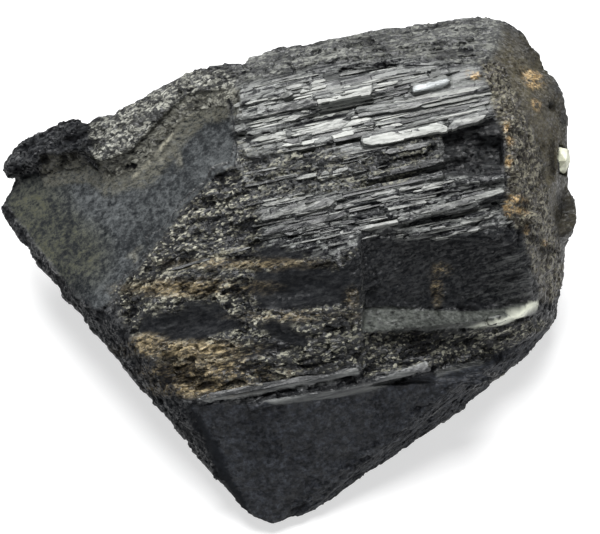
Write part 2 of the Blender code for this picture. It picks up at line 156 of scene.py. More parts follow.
class Socket:
    """One output in a material's node tree."""

    def __init__(self, tree, output):
        self.tree = tree
        self.output = output

    def node(self, kind, settings=None, values=None, output=0):
        """Adds a node of this kind, sets its settings, feeds its sockets and wraps one of its outputs."""
        made = self.tree.nodes.new(kind)
        for name, value in (settings or {}).items():
            setattr(made, name, value)
        for name, value in (values or {}).items():
            self.feed(made.inputs[name], value)
        return Socket(self.tree, made.outputs[output])

    def feed(self, entry, value):
        """Links a wrapped socket to an input, or sets the input to a plain value."""
        if isinstance(value, Socket):
            self.tree.links.new(value.output, entry)
        else:
            entry.default_value = value

    def sum(self, operation, first, second, clamp=False):
        """A Math node on two values."""
        settings = {"operation": operation, "use_clamp": clamp}
        return self.node("ShaderNodeMath", settings, {0: first, 1: second})

    def __add__(self, other):
        return self.sum("ADD", self, other)

    def __radd__(self, other):
        return self.sum("ADD", other, self)

    def __sub__(self, other):
        return self.sum("SUBTRACT", self, other)

    def __rsub__(self, other):
        return self.sum("SUBTRACT", other, self)

    def __mul__(self, other):
        return self.sum("MULTIPLY", self, other)

    def __rmul__(self, other):
        return self.sum("MULTIPLY", other, self)

    def vector(self, operation, first, second):
        """A Vector Math node on two values."""
        return self.node("ShaderNodeVectorMath", {"operation": operation}, {0: first, 1: second})

    def clipped(self):
        """The same value, kept between 0 and 1."""
        return self.sum("ADD", self, 0.0, clamp=True)

    def band(self, low, high):
        """0 below low, 1 above high, and eased between them."""
        settings = {"interpolation_type": "SMOOTHSTEP"}
        return self.node("ShaderNodeMapRange", settings, {"Value": self, "From Min": low, "From Max": high})

    def tint(self, first, second):
        """A colour that goes from first to second as this value goes from 0 to 1."""
        settings = {"data_type": "RGBA", "clamp_factor": True}
        return self.node("ShaderNodeMix", settings, {0: self, 6: first, 7: second}, output=2)


def new_finish(name):
    """A material with its shader, and a socket of Object coordinates to start from."""
    material = bpy.data.materials.new(name)
    material.use_nodes = True
    tree = material.node_tree
    shader = tree.nodes["Principled BSDF"]
    coordinates = tree.nodes.new("ShaderNodeTexCoord")
    return material, shader, Socket(tree, coordinates.outputs["Object"])


def tone(*thousandths):
    """A colour from its red, green and blue, in thousandths of full brightness."""
    return (*[level / 1000 for level in thousandths], 1)


# %% Finish of the floor
FLOOR_DARK = tone(500, 500, 500)
FLOOR_PALE = tone(530, 530, 530)
FLOOR_GLOW = 0.62

floor_material, floor_shader, floor_place = new_finish("pale_floor")
grain = floor_place.node("ShaderNodeTexNoise", {}, {"Vector": floor_place, "Scale": 60.0, "Detail": 3.0})
floor_place.feed(floor_shader.inputs["Base Color"], grain.tint(FLOOR_DARK, FLOOR_PALE))
floor_shader.inputs["Roughness"].default_value = 0.9
floor_shader.inputs["Emission Color"].default_value = (1, 1, 1, 1)
floor_shader.inputs["Emission Strength"].default_value = FLOOR_GLOW
floor.data.materials.append(floor_material)
print("floor finished with", len(floor_material.node_tree.nodes), "nodes")

# %% [markdown]
# ## Random numbers that stay put
#
# Broken stone looks random, yet the script has to give the same stone each time. A hash turns the number of
# a cell into a number from 0 to 1 that never changes. Two kinds of relief are built on it: smooth hills, and
# angular grains, each a small tilted plane of its own. Both take whole arrays of points.

# %% A hash
GOLDEN = np.uint64(0x9E3779B97F4A7C15)
SCATTER = np.uint64(0xBF58476D1CE4E5B9)


def dice(seed, *cells):
    """A number from 0 to 1 for each whole-numbered cell: its coordinates, multiplied and shifted."""
    mixed = np.full(np.broadcast(*cells).shape, seed, np.uint64)
    for cell in cells:
        mixed = (mixed ^ np.asarray(cell).astype(np.int64).astype(np.uint64)) * GOLDEN
        mixed = mixed ^ (mixed >> np.uint64(29))
    mixed = mixed * SCATTER
    return (mixed >> np.uint64(11)).astype(float) / 2.0**53


print("dice for three cells:", dice(7, np.array([1, 2, 3])).round(4))

# %% Smooth hills


def hills(points, size, seed):
    """Smooth hills a size apart, from -1 to 1: random heights on a grid, eased between its corners."""
    place = points / size
    cell = np.floor(place).astype(np.int64)
    part = place - cell
    part = part * part * (3 - 2 * part)
    height = np.zeros(len(points))
    for corner in np.ndindex(2, 2, 2):
        step = np.array(corner)
        weight = np.prod(np.where(step == 1, part, 1 - part), axis=1)
        height += weight * dice(seed, *(cell + step).T)
    return 2 * height - 1


def rolling(points, size, seed, layers=3):
    """Hills on hills: each layer has half the size and half the height of the one before."""
    return sum(hills(points, size / 2**k, seed + k) / 2**k for k in range(layers))


print("rolling hills at three places:", rolling(np.eye(3), 2.0, 5).round(3))

# %% Angular grains


def grains(points, size, seed):
    """Angular grains a size across, from about -1 to 1.

    A point takes the plane of the nearest of some random middles: a random level, plus its distance from
    that middle along a random direction.
    """
    place = points / size
    cell = np.floor(place).astype(np.int64)
    nearest = np.full(len(points), np.inf)
    height = np.zeros(len(points))
    for step in np.ndindex(3, 3, 3):
        home = cell + np.array(step) - 1
        middle = home + np.stack([dice(seed + k, *home.T) for k in range(3)], axis=1)
        offset = place - middle
        distance = np.einsum("ij,ij->i", offset, offset)
        slope = np.stack([dice(seed + 3 + k, *home.T) for k in range(3)], axis=1) - 0.5
        plane = dice(seed + 6, *home.T) - 0.5 + 1.2 * np.einsum("ij,ij->i", offset, slope)
        closer = distance < nearest
        nearest = np.where(closer, distance, nearest)
        height = np.where(closer, plane, height)
    return 1.5 * height


print("grains at three places:", grains(np.eye(3), 2.0, 5).round(3))

# %% [markdown]
# ## A skin over the part
#
# The finest relief needs a mesh of small even faces all over the stone. The Remesh modifier gives one: it
# fills the part with small cubes and lays quads round them. The top front holds the finest splinters, so the
# part is first swollen on that side, which makes the cubes there smaller once the swelling is undone. Crumbs
# that the cubes leave in the air are dropped, and every point is pulled back onto the part's surface.

# %% Mesh helpers


def mesh_object(name, points, faces):
    """A mesh object from points in millimetres and faces that all have the same number of corners."""
    mesh = bpy.data.meshes.new(name)
    mesh.vertices.add(len(points))
    mesh.vertices.foreach_set("co", (points * MM).astype(np.float32).ravel())
    mesh.loops.add(faces.size)
    mesh.loops.foreach_set("vertex_index", faces.astype(np.int32).ravel())
    mesh.polygons.add(len(faces))
    mesh.polygons.foreach_set("loop_start", np.arange(0, faces.size, faces.shape[1], dtype=np.int32))
    mesh.update(calc_edges=True)
    made = bpy.data.objects.new(name, mesh)
    bpy.context.scene.collection.objects.link(made)
    return made


def read_list(items, name, each, kind):
    """Each item's one or more values under a name, all in one flat array."""
    values = np.empty(len(items) * each, kind)
    items.foreach_get(name, values)
    return values


def read_mesh(mesh):
    """The points of a mesh in millimetres and its faces, which all have the same number of corners."""
    points = read_list(mesh.vertices, "co", 3, np.float32).reshape(-1, 3)
    corners = read_list(mesh.loops, "vertex_index", 1, np.int32)
    return points.astype(float) / MM, corners.reshape(len(mesh.polygons), -1)


def after_modifier(points, faces, kind, settings):
    """The points and faces as one modifier with these settings leaves them."""
    piece = mesh_object("passing", points, faces)
    modifier = piece.modifiers.new("step", kind)
    for name, value in settings.items():
        setattr(modifier, name, value)
    shown = piece.evaluated_get(bpy.context.evaluated_depsgraph_get())
    result = read_mesh(shown.data)
    bpy.data.objects.remove(piece)
    return result


# %% Directions and neighbours


def unit(vectors):
    """The same directions, one long."""
    return vectors / np.linalg.norm(vectors, axis=-1, keepdims=True)


def neighbour_mean(values, quads):
    """The mean of each point's neighbours along the sides of its quads."""
    ends = np.stack([quads.ravel(), np.roll(quads, -1, axis=1).ravel()], axis=1)
    total = np.zeros_like(values)
    count = np.bincount(ends.ravel(), minlength=len(values))
    for k in range(values.shape[1]):
        total[:, k] += np.bincount(ends[:, 0], values[ends[:, 1], k], len(values))
        total[:, k] += np.bincount(ends[:, 1], values[ends[:, 0], k], len(values))
    return total / count[:, None]


def normals_of(points, quads):
    """The outward direction at each point: the sum over its quads of the product of their diagonals."""
    across = np.cross(points[quads[:, 2]] - points[quads[:, 0]], points[quads[:, 3]] - points[quads[:, 1]])
    total = np.empty_like(points)
    for k in range(3):
        total[:, k] = np.bincount(quads.ravel(), np.repeat(across[:, k], 4), len(points))
    return unit(total)


# %% Swell, remesh, and undo the swelling
CUBE_SIZE = 0.23
SWELL_MIDDLE = np.array([0.0, 0.0, 11.0])
SWELL_REACH = 22.0
SWELLING = 0.38


def swollen(points, amount):
    """Points moved away from the middle by a factor 1 / (1 - amount * t), the more the nearer the camera.

    t is how far a point lies towards the camera, in parts of the reach. Flat faces stay flat, and the same
    formula with minus the amount undoes it.
    """
    offset = points - SWELL_MIDDLE
    towards = offset @ towards_camera / SWELL_REACH
    return SWELL_MIDDLE + offset / (1 - amount * towards)[:, None]


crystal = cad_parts["tourmaline_crystal"]
loose_points, loose_triangles = read_mesh(crystal.data)
whole_points, joined = np.unique(np.round(loose_points, 5), axis=0, return_inverse=True)
whole_triangles = joined.reshape(-1)[loose_triangles]

CUBES = {"mode": "VOXEL", "voxel_size": CUBE_SIZE * MM, "use_smooth_shade": False}
skin, skin_quads = after_modifier(swollen(whole_points, SWELLING), whole_triangles, "REMESH", CUBES)
skin = swollen(skin, -SWELLING)
print("skin:", len(skin), "points and", len(skin_quads), "quads")

# %% Keep the largest connected part


def connected(points, quads):
    """A label for each point, the same for all points that the quads join.

    Every point starts with its own number. Each round, both ends of every side take the smaller of their
    labels, and every label gives way to the label of the point it names, until nothing changes.
    """
    first = quads.ravel()
    second = np.roll(quads, -1, axis=1).ravel()
    labels = np.arange(len(points))
    while np.any(labels[first] != labels[second]):
        smaller = np.minimum(labels[first], labels[second])
        np.minimum.at(labels, labels[first], smaller)
        np.minimum.at(labels, labels[second], smaller)
        labels = labels[labels]
    return labels


labels = connected(skin, skin_quads)
kept = labels == np.bincount(labels).argmax()
print("points left out as crumbs:", int(np.sum(~kept)))
new_number = np.cumsum(kept) - 1
skin_quads = new_number[skin_quads[kept[skin_quads[:, 0]]]]
skin = skin[kept]

# %% Pull the skin onto the part
NEAREST = {"target": crystal, "wrap_method": "NEAREST_SURFACEPOINT"}
PULLS = 2
SOFTENINGS = 6

for _ in range(PULLS):
    skin = 0.5 * skin + 0.5 * neighbour_mean(skin, skin_quads)
    skin, skin_quads = after_modifier(skin, skin_quads, "SHRINKWRAP", NEAREST)
soft_normals = normals_of(skin, skin_quads)
for _ in range(SOFTENINGS):
    soft_normals = unit(neighbour_mean(soft_normals, skin_quads) + 0.2 * soft_normals)
print("skin reaches", skin.min(axis=0).round(2), "to", skin.max(axis=0).round(2), "mm")

# %% [markdown]
# ## Coordinates of the crystal
#
# Splinters follow the direction in which the crystal grew, so relief is easiest to write in the crystal's
# own coordinates: how far along that direction a point lies, and how far round it. Grains worked out from
# points that are squeezed along it come out as streaks.

# %% Growth direction
GROWTH_YAW = np.radians(11.5)
GROWTH_TILT = np.radians(5.0)
GROWTH_AXIS_POINT = np.array([1.0, 0.0, 10.0])
GIRTH_RADIUS = 14.0
STREAK_LENGTH = 3.0

growth = np.array([
    np.cos(GROWTH_YAW) * np.cos(GROWTH_TILT),
    np.sin(GROWTH_YAW) * np.cos(GROWTH_TILT),
    np.sin(GROWTH_TILT),
])
crown = unit(np.array([0.0, 0.0, 1.0]) - growth * growth[2])
front = np.cross(growth, crown)

offset = skin - GROWTH_AXIS_POINT
along = offset @ growth
girth = np.arctan2(offset @ front, offset @ crown)
across = girth * GIRTH_RADIUS
lengthwise = np.stack([offset @ growth / STREAK_LENGTH, offset @ front, offset @ crown], axis=1)
print("along the growth direction:", round(float(along.min()), 1), "to", round(float(along.max()), 1), "mm")

# %% [markdown]
# ## Zones
#
# The stone broke in different ways in different places. Each way is a zone with an outline in the camera's
# picture, and a mask says how far a point belongs to it: 1 well inside, 0 outside, eased over a soft edge
# that strays a little. Points that face away from the camera, or lie well behind the foremost point of their
# small square of the picture, belong to no zone: their relief comes from where they lie on the crystal.
# Cracks, shadow lines and pale lines are lines, broken into dashes.

# %% Zones: softness and straying of the edge in pixels, and outlines in the camera's picture
OUTLINES = {
    "grey": (3, 1.5, [[
        (-8, 178), (50, 171), (85, 161), (95, 163), (105, 177), (135, 168), (155, 150), (175, 125),
        (195, 108), (232, 103), (236, 165), (215, 178), (185, 205), (165, 235), (145, 262), (130, 275),
        (118, 295), (108, 305), (95, 308), (75, 298), (60, 275), (40, 250), (15, 215), (-8, 190),
    ]]),
    "lump": (4, 3, [[
        (-12, 178), (-5, 150), (22, 130), (55, 115), (75, 115), (92, 127), (105, 150), (93, 163), (50, 172),
    ]]),
    "pale": (6, 3, [[
        (90, 128), (118, 100), (142, 84), (190, 62), (235, 72), (231, 101), (195, 108), (175, 125),
        (155, 150), (135, 168), (107, 177), (95, 162),
    ]]),
    "crest": (8, 3, [[
        (140, 84), (190, 55), (330, 25), (480, 5), (505, 12), (500, 50), (482, 66), (420, 58), (330, 62),
        (235, 85),
    ]]),
    "splinter": (6, 3, [[
        (236, 85), (330, 62), (420, 58), (478, 64), (498, 110), (505, 190), (520, 232), (430, 245),
        (360, 248), (345, 262), (262, 250), (245, 235), (236, 180),
    ]]),
    "slats": (10, 3, [[
        (236, 85), (330, 76), (420, 66), (480, 70), (494, 112), (440, 128), (370, 150), (250, 152),
        (236, 140),
    ]]),
    "middle": (8, 3, [[(236, 142), (330, 146), (440, 134), (442, 160), (400, 185), (330, 192), (240, 205)]]),
    # A raised facet whose glint is painted white in the base colour.
    "painted_glint_facet": (1.5, 0.3, [[(412, 92), (415, 86), (447, 79), (449, 83), (442, 88)]]),
    "recess": (4, 1, [[(441, 134), (495, 119), (504, 130), (506, 174), (444, 177)]]),
    "wavy": (8, 3, [[
        (236, 165), (256, 200), (262, 250), (200, 268), (165, 275), (110, 305), (118, 295), (130, 275),
        (145, 262), (165, 235), (185, 205), (215, 178),
    ]]),
    "stained": (8, 3, [[
        (112, 290), (165, 272), (262, 248), (345, 262), (360, 300), (362, 331), (358, 366), (308, 379),
        (200, 396), (165, 372), (132, 335),
    ]]),
    "pods": (6, 7, [
        [(252, 270), (300, 266), (342, 268), (352, 285), (345, 303), (300, 309), (260, 306), (243, 292)],
        [(132, 336), (142, 318), (190, 303), (228, 308), (238, 322), (215, 338), (170, 337)],
        [(252, 328), (270, 322), (292, 324), (308, 331), (310, 342), (290, 348), (262, 341)],
        [(214, 367), (240, 354), (266, 344), (270, 350), (246, 362), (218, 372)],
        [(252, 252), (304, 250), (306, 262), (254, 264)],
    ]),
    "rib": (5, 3, [[(340, 250), (362, 246), (364, 300), (362, 330), (358, 366), (345, 372), (342, 300)]]),
    "wall": (4, 1.5, [[
        (360, 232), (400, 240), (440, 236), (520, 228), (532, 262), (522, 298), (495, 309), (430, 308),
        (360, 305), (355, 292), (344, 284), (343, 264), (353, 258), (361, 248),
    ]]),
    "wall_streaks": (10, 3, [[
        (462, 290), (490, 262), (530, 238), (545, 246), (545, 296), (515, 304), (488, 304),
    ]]),
    "shelf": (2, 0.5, [[
        (362, 309), (385, 306), (423, 310), (470, 311), (496, 309), (519, 304), (537, 301), (536, 314),
        (500, 326), (442, 330), (362, 332),
    ]]),
    "shelf_end": (1.5, 0.5, [[
        (470, 325), (500, 320), (518, 312), (527, 304), (540, 300), (537, 308), (520, 319), (500, 325),
        (472, 328),
    ]]),
    "eased": (8, 2, [[
        (348, 220), (400, 228), (440, 226), (520, 216), (540, 236), (536, 262), (522, 250), (440, 246),
        (400, 250), (382, 250), (378, 296), (370, 303), (350, 303),
    ]]),
    "lower": (5, 3, [[
        (362, 333), (442, 331), (500, 328), (545, 318), (560, 330), (480, 366), (427, 366), (362, 376),
    ]]),
    "strips": (1.5, 0.5, [
        [(198, 399), (255, 388), (308, 380), (358, 367), (359, 374), (308, 387), (255, 396), (205, 402)],
        [(262, 401), (346, 388), (377, 379), (427, 361), (428, 368), (380, 388), (346, 396), (275, 405)],
        [(435, 370), (481, 360), (483, 364), (437, 377)],
    ]),
    "lip": (6, 2, [[
        (40, 158), (85, 152), (100, 164), (130, 152), (145, 136), (168, 110), (190, 94), (238, 86),
        (240, 116), (204, 124), (186, 142), (170, 164), (148, 186), (105, 196), (88, 182), (45, 186),
    ]]),
    "chamfer": (10, 6, [[
        (280, 512), (340, 465), (400, 420), (440, 392), (482, 368), (545, 328), (575, 320), (562, 362),
        (470, 440), (350, 520), (285, 540),
    ]]),
    "dark_face": (4, 1.5, [[
        (188, 406), (246, 403), (330, 396), (380, 388), (430, 372), (480, 366), (545, 328), (575, 330),
        (480, 420), (350, 505), (265, 545), (235, 520), (205, 440),
    ]]),
    "rim": (6, 3, [[
        (-10, 200), (12, 214), (40, 254), (60, 280), (84, 304), (110, 312), (130, 340), (165, 374),
        (190, 405), (215, 440), (250, 515), (235, 545), (150, 440), (-10, 240),
    ]]),
    "rind": (6, 3, [[
        (480, 60), (500, 62), (520, 104), (540, 150), (548, 205), (562, 250), (568, 290), (545, 302),
        (528, 262), (508, 215), (506, 150), (492, 100),
    ]]),
    "right_skin": (8, 3, [[
        (500, 10), (560, 20), (590, 120), (585, 250), (570, 300), (562, 250), (548, 205), (540, 150),
        (520, 104), (500, 62), (482, 60),
    ]]),
}

# Cracks and pale lines, as lines in the camera's picture. The first two cracks are painted shadow lines
# under overhangs, and all cracks are painted dark with shade.
CRACK_AND_SHADOW_LINES = [
    [(103, 173), (118, 170), (136, 164)], [(0, 179), (22, 177), (48, 170), (62, 165)],
    [(231, 137), (262, 133), (300, 124), (345, 112)], [(246, 399), (300, 387), (365, 374), (408, 364)],
    [(435, 292), (428, 302), (420, 307)], [(439, 112), (452, 130)], [(300, 150), (330, 145), (360, 138)],
    [(342, 70), (365, 64), (395, 66)], [(320, 112), (372, 100)],
]
# Pale lines: the first runs along the lip of the grey fracture, pale ochre and partly a painted highlight.
PALE_LINES = [[(136, 175), (156, 155), (170, 138), (185, 118), (194, 111)], [(164, 273), (200, 262), (248, 246)]]
RING_MARKS = [[(160, 160), (168, 153), (178, 156), (181, 165)], [(136, 262), (133, 254), (140, 248)]]
FACET_STEP = [(121, 197), (111, 204), (101, 222), (105, 240)]
print("zones:", len(OUTLINES), "and cracks:", len(CRACK_AND_SHADOW_LINES))

# %% Which points the camera sees
SQUARE = 6.0
DEEPEST = 4.0

picture_x, picture_y = in_picture(skin)
facing = np.einsum("ij,ij->i", soft_normals, unit(eye - skin))
nearness = (skin - LOOKS_AT) @ towards_camera
column, row = [np.floor(place / SQUARE).astype(int) for place in (picture_x, picture_y)]
square = column - column.min(), row - row.min()
foremost = np.full((square[0].max() + 1, square[1].max() + 1), -np.inf)
np.maximum.at(foremost, square, nearness)
in_front = nearness > foremost[square] - DEEPEST
seen = np.clip((facing - 0.02) / 0.15, 0, 1) * in_front
print("share of the skin that the camera sees:", round(float(seen.mean()), 3))

# %% Masks from outlines and lines
wander = np.stack([rolling(skin, 1.6, 11), rolling(skin, 1.6, 21)])


def strayed(amount):
    """The picture places of the skin's points, moved about by some pixels so that edges wander."""
    return picture_x + amount * wander[0], picture_y + amount * wander[1]


def side_distance(x, y, first, second):
    """How far places lie from the straight side between two corners: the nearest place on it, then away."""
    (ax, ay), (bx, by) = first, second
    run = np.clip(((x - ax) * (bx - ax) + (y - ay) * (by - ay)) / ((bx - ax) ** 2 + (by - ay) ** 2), 0, 1)
    return np.hypot(x - ax - run * (bx - ax), y - ay - run * (by - ay))


def inside_distance(outline, x, y):
    """How far places lie inside an outline, negative outside: the least distance to any of its sides.

    A place is inside when a line from it to the right crosses the outline an odd number of times.
    """
    corners = np.array(outline, float)
    nearest = np.full(len(x), np.inf)
    inside = np.zeros(len(x), bool)
    for (ax, ay), (bx, by) in zip(corners, np.roll(corners, -1, axis=0)):
        nearest = np.minimum(nearest, side_distance(x, y, (ax, ay), (bx, by)))
        if ay != by:
            inside ^= ((ay > y) != (by > y)) & (x < ax + (y - ay) * (bx - ax) / (by - ay))
    return np.where(inside, nearest, -nearest)


def zone(soft, stray, outlines):
    """A mask from 0 to 1 for the skin: eased over soft pixels at the edge of some outlines, which strays."""
    x, y = strayed(stray)
    depth = np.max([inside_distance(outline, x, y) for outline in outlines], axis=0)
    ease = np.clip(depth / soft + 0.5, 0, 1)
    return ease * ease * (3 - 2 * ease) * seen


def trace(wide, *routes):
    """A mask from 0 to 1 along lines through the picture: 1 on them, 0 further than about wide pixels."""
    x, y = strayed(1.2)
    sides = [side for route in routes for side in zip(route[:-1], route[1:])]
    away = np.min([side_distance(x, y, *side) for side in sides], axis=0)
    return np.clip(1.3 - away / wide, 0, 1) * seen


def spot(x, y, wide, high, soft=2.0):
    """A mask for an oval patch at a place in the picture."""
    near_x, near_y = strayed(1.5)
    distance = np.hypot((near_x - x) / wide, (near_y - y) / high)
    return np.clip((1 - distance) * min(wide, high) / soft + 0.5, 0, 1) * seen


dashes = np.clip(1.6 * rolling(skin, 0.9, 301) + 0.75, 0, 1)
zones = {name: zone(*settings) for name, settings in OUTLINES.items()}
zones["crack_and_shadow_lines"] = dashes * trace(2.0, *CRACK_AND_SHADOW_LINES)
zones["pale_lines"] = dashes * trace(2.2, *PALE_LINES)
zones["ring_marks"] = 0.5 * trace(1.5, *RING_MARKS)
zones["facet_step"] = trace(3.0, FACET_STEP) * np.clip(2.5 * rolling(skin, 0.45, 311) + 0.4, 0, 1)
print("share of the skin in each zone:", {k: round(float(v.mean()), 3) for k, v in zones.items()})

# %% [markdown]
# ## Relief
#
# Now every zone gets a height. Splinters are bricks laid in rows along the growth direction, each with its
# own length, level and lean. Rubble is made of angular grains of two sizes. Smooth faces only roll a little,
# and the solid's own corners under them are eased away first. Each zone covers those before it in the list.

# %% Ease the corners of the solid
EASED_ZONES = {"eased": 1.0, "rim": 0.7, "wall": 0.8, "pods": 0.9, "stained": 0.7, "grey": 1.0}
EASINGS = 30
LIP_EASINGS = 90

eased = skin
for _ in range(EASINGS):
    eased = neighbour_mean(eased, skin_quads)
easing = np.clip(sum(share * zones[name] for name, share in EASED_ZONES.items()), 0, 1)
skin = skin + (eased - skin) * easing[:, None]
for _ in range(LIP_EASINGS):
    eased = neighbour_mean(eased, skin_quads)
skin = skin + (eased - skin) * zones["lip"][:, None]
print("share of the skin that is eased:", round(float(easing.mean()), 3))

# %% Splinter bricks


def bricks(bent, width, length, seed):
    """Bricks laid in rows, from about -1 to 1: a random level for each, plus a lean across its row."""
    row_place = bent / width + 0.35 * np.sin(bent / width * 0.9 + seed)
    row = np.floor(row_place)
    own_length = length * (0.5 + dice(seed, row))
    brick = np.floor(along / own_length + 7 * dice(seed + 1, row))
    level = dice(seed + 2, row, brick) - 0.5
    lean = (dice(seed + 3, row, brick) - 0.5) * (row_place - row - 0.5)
    return 1.6 * level + 1.2 * lean


bend = 0.3 * rolling(skin, 6.0, 31)
brick_relief = 0.13 * bricks(across + bend, 0.95, 6.0, 41) + 0.09 * bricks(across + bend, 0.45, 3.0, 51)
print("tallest brick relief:", round(float(np.abs(brick_relief).max()), 2), "mm")

# %% Rubble, streaks and gentle faces, in millimetres
rubble = 0.20 * grains(skin, 1.5, 61) + 0.16 * grains(skin, 0.8, 71)
fine_rubble = 0.11 * grains(skin, 0.7, 81) + 0.07 * grains(skin, 0.42, 86)
streaks = 0.17 * grains(lengthwise, 0.85, 91) + 0.09 * grains(lengthwise, 0.42, 101)
furrows = 0.16 * rolling(lengthwise, 1.5, 201, 2)
gentle = 0.05 * rolling(skin, 3.0, 111)
grit_patches = np.clip(rolling(lengthwise, 2.2, 121) * 1.6 + 0.25 + zones["middle"], 0, 1)
grit = fine_rubble + 0.4 * streaks
gritty_bricks = brick_relief * (1 - 0.5 * grit_patches) + grit * grit_patches
print("tallest rubble:", round(float(np.abs(rubble).max()), 2), "mm")

# %% Height of each zone, from the lowest layer to the topmost
zone_heights = [
    ("crest", 0.8 * streaks + 0.12 * rolling(skin, 2.0, 131)),
    ("splinter", gritty_bricks),
    ("slats", brick_relief),
    ("lump", 1.3 * rubble),
    ("pale", 0.9 * fine_rubble + 0.4 * rubble),
    ("wavy", 1.4 * streaks + furrows),
    ("stained", 1.4 * streaks + furrows),
    ("rib", 1.3 * fine_rubble + 0.4 * rubble),
    ("right_skin", 0.10 * rolling(skin, 2.5, 141)),
    ("rind", 1.0 * fine_rubble + 0.3 * rubble),
    ("lower", 1.1 * streaks + 0.6 * furrows),
    ("rim", 0.75 * rubble),
    ("dark_face", 0.6 * gentle + 0.05 * grains(skin, 2.2, 151)),
    ("chamfer", 0.7 * streaks + 0.3 * rubble),
    ("wall", 0.5 * gentle + 0.4 * fine_rubble),
    ("recess", 0.5 * fine_rubble - 0.05),
    ("pods", -0.06 + 0.4 * gentle + 0.2 * streaks),
    ("grey", 0.25 * gentle + 0.015 * grains(skin, 0.9, 181)),
    ("eased", 0.9 * streaks),
    ("wall_streaks", 0.6 * streaks + 0.4 * fine_rubble),
    ("shelf", 0.02 * gentle),
    ("painted_glint_facet", 0.10 + 0.02 * gentle),
    ("strips", 0.10 + 0.03 * bricks(across, 0.4, 4.0, 191)),
]
LINE_HEIGHTS = {"crack_and_shadow_lines": -0.14, "pale_lines": 0.04, "facet_step": -0.09}

back_side = np.clip(-facing / 0.2 + 0.5, 0, 1) * np.clip((along + 14) / 3, 0, 1)
end_face = np.clip((np.abs(soft_normals @ growth) - 0.55) / 0.2, 0, 1)
split_side = back_side * (1 - end_face)
split_relief = 1.6 * brick_relief + 0.5 * streaks + 0.14 * rolling(lengthwise, 2.5, 211)
height = split_side * split_relief + (1 - split_side) * (0.8 * rubble + 0.12 * rolling(skin, 3.0, 221))
for name, relief in zone_heights:
    height = height * (1 - zones[name]) + relief * zones[name]
for name, level in LINE_HEIGHTS.items():
    height = height + level * zones[name]
underside = np.clip((-soft_normals[:, 2] - 0.5) / 0.3, 0, 1) * np.clip(1 - skin[:, 2] / 0.6, 0, 1)
height = height * (1 - underside)
print("relief from", round(float(height.min()), 2), "to", round(float(height.max()), 2), "mm")

# %% [markdown]
# ## Spikes
#
# Where two kinds of relief meet on a sharp corner, a few points would stand up like hairs. A point that lies
# too far from the mean of the points round it is laid back onto that mean. Then the skin is clipped to the
# part's own box, so that the stone still lies flat.

# %% Raise the skin and lay its spikes back
FARTHEST_STEP = 0.2
FLATTENINGS = 5
ROUND_ABOUT = 4

skin = skin + soft_normals * height[:, None]
for _ in range(FLATTENINGS):
    level = skin
    for _ in range(ROUND_ABOUT):
        level = neighbour_mean(level, skin_quads)
    spikes = np.linalg.norm(skin - level, axis=1) > FARTHEST_STEP
    skin = np.where(spikes[:, None], level, skin)

lowest, highest = [np.array(corner) / MM for corner in part_box]
skin = np.clip(skin, lowest, highest)
print("spikes left after flattening:", int(spikes.sum()))

# %% [markdown]
# ## The skin as a piece
#
# The skin becomes a mesh that stands for the crystal's solid. The masks travel with it as named attributes,
# so that the material can tell a stained grain from a clean splinter.

# %% Stains, rust, and pits painted with shade: ovals in the camera's picture
RUST_SPOTS = [
    (531, 75, 10, 5), (534, 84, 7, 4), (536, 104, 5, 3), (507, 127, 3, 6), (510, 141, 4, 4),
    (509, 162, 3, 5), (509, 208, 5, 9), (517, 199, 9, 4), (521, 211, 7, 3), (526, 230, 4, 4),
    (545, 243, 3, 3), (475, 76, 6, 3),
]
# Pits with no relief, painted dark with shade.
PAINTED_PIT_SHADE = [
    (524, 228, 8, 5), (536, 240, 7, 5), (549, 250, 7, 5), (551, 106, 5, 5), (553, 155, 3, 22),
    (520, 70, 3, 8),
]
STAIN_STREAKS = [
    (190, 350, 66, 9), (215, 372, 66, 12), (200, 388, 45, 8), (195, 288, 62, 8), (295, 316, 40, 4),
    (150, 345, 18, 10), (352, 298, 5, 8), (443, 270, 7, 5), (437, 288, 4, 12), (245, 264, 50, 4),
]
HOLLOW_DEPTH = 0.2


def most(names):
    """The largest of some zones' masks at each point."""
    return np.max([zones[name] for name in names], axis=0)


pit_shade = np.max([spot(*oval) for oval in PAINTED_PIT_SHADE], axis=0)
masks = {
    "rust": np.max([spot(*oval) for oval in RUST_SPOTS], axis=0),
    "stain": np.max([spot(*oval, soft=8.0) for oval in STAIN_STREAKS], axis=0),
    "olive": np.clip(spot(30, 222, 40, 40, 30.0) + spot(70, 255, 36, 32, 26.0), 0, 1),
    "hollow": np.clip(np.maximum(-height / HOLLOW_DEPTH, 0.9 * pit_shade), 0, 1),
    "rough_ground": np.maximum(most(("stained", "wavy", "rib", "lower")), 0.7 * zones["middle"]),
    "unseen": split_side,
}
ONLY_RELIEF = ("middle", "wavy", "stained", "rib", "eased", "lower", "facet_step")
masks.update({name: values for name, values in zones.items() if name not in ONLY_RELIEF})
calm_zones = most(("grey", "dark_face", "wall", "shelf", "recess", "pods", "right_skin"))
print("masks for the material:", len(masks))

# %% Skin mesh


def keep_mask(piece, name, values):
    """Stores one number for each point of a piece under a name that its material can read."""
    attribute = piece.data.attributes.new(name, "FLOAT", "POINT")
    attribute.data.foreach_set("value", values.astype(np.float32))


schorl_skin = mesh_object("schorl_skin", skin, skin_quads)
for name, values in masks.items():
    keep_mask(schorl_skin, name, values)
keep_mask(schorl_skin, "calm", calm_zones * (1 - zones["chamfer"]))
print("skin triangles:", 2 * len(skin_quads))

# %% [markdown]
# ## Fewer faces where nothing happens
#
# The even mesh spends as many faces on the flat fracture below as on the splinters. Decimate merges faces
# where that changes the shape least, which keeps the piece light. The faces of the calm zones are then
# shaded smooth, and all others flat, which gives broken stone its glints.

# %% Thin out the flat faces
MOST_TRIANGLES = 196000

